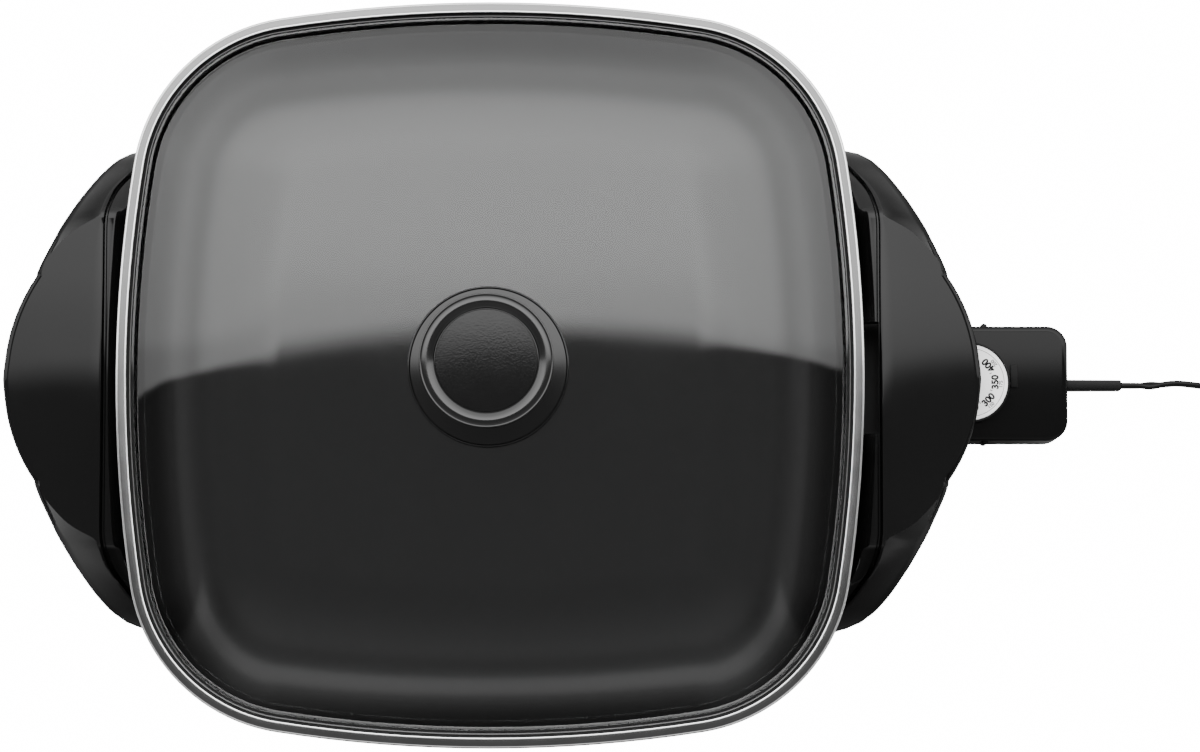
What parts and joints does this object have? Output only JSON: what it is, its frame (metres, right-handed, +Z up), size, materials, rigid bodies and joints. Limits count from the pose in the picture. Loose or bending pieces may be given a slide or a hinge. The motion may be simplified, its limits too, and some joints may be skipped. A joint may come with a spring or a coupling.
{
  "type": "electric skillet",
  "caption": "Square electric skillet with a lift-off domed glass lid, winged handles on legs, and a plug-in probe control with a temperature dial and mains cord.",
  "frame": {"origin": "on the table, under the middle of the box round handles and control, without the cord", "axes": "+X towards the plug-in control, +Y towards the back edge in the picture, +Z up"},
  "size_m": [0.6142, 0.316, 0.1599],
  "materials": {
    "nonstick": "dark nonstick coating on cast aluminium",
    "sheath": "heat-dulled steel",
    "plated_pin": "nickel plate",
    "ceramic": "unglazed ceramic",
    "guard_black": "matt phenolic",
    "fastener": "zinc plate",
    "handle_black": "satin phenolic",
    "glass": "clear tempered glass",
    "rim_steel": "polished stainless steel",
    "seal_black": "silicone",
    "knob_black": "glossy phenolic with a grained top",
    "brass": "brass",
    "control_black": "satin phenolic",
    "frame_phenolic": "phenolic board",
    "cord_black": "matt vinyl",
    "dial_black": "glossy plastic",
    "dial_white": "white printed plate"
  },
  "bodies": {
    "skillet": {"pan": "nonstick", "heating_element": "sheath", "terminal_pins": "plated_pin", "terminal_insulators": "ceramic", "terminal_guard": "guard_black", "guard_screws": "fastener", "left_handle": "handle_black", "right_handle": "handle_black", "handle_screws": "fastener"},
    "lid": {"lid_glass": "glass", "lid_rim": "rim_steel", "lid_seal": "seal_black", "knob": "knob_black", "knob_base": "knob_black", "knob_insert": "brass", "knob_screw": "fastener", "knob_washer": "fastener", "knob_gasket": "seal_black"},
    "control": {"control_top": "control_black", "control_bottom": "control_black", "control_screws": "fastener", "probe_rod": "plated_pin", "contact_block": "guard_black", "contact_sleeves": "brass", "thermostat": "frame_phenolic", "switch_blades": "brass", "strain_relief": "cord_black", "cord": "cord_black", "cord_coil": "cord_black", "cord_tie": "cord_black", "plug": "cord_black", "plug_blades": "brass"},
    "dial": {"dial": "dial_black", "dial_plate": "dial_white", "dial_shaft": "fastener"}
  },
  "joints": [
    {"name": "lid_lift", "type": "slide", "parent": "skillet", "child": "lid", "axis": [0, 0, 1], "range_m": [0, 0.15]},
    {"name": "control_pull", "type": "slide", "parent": "skillet", "child": "control", "axis": [1, 0, 0], "range_m": [0, 0.12]},
    {"name": "dial_turn", "type": "hinge", "parent": "control", "child": "dial", "pos_m": [0.1868, 0, 0.045], "axis": [0, 0, 1], "range_deg": [-45, 225]}
  ]
}
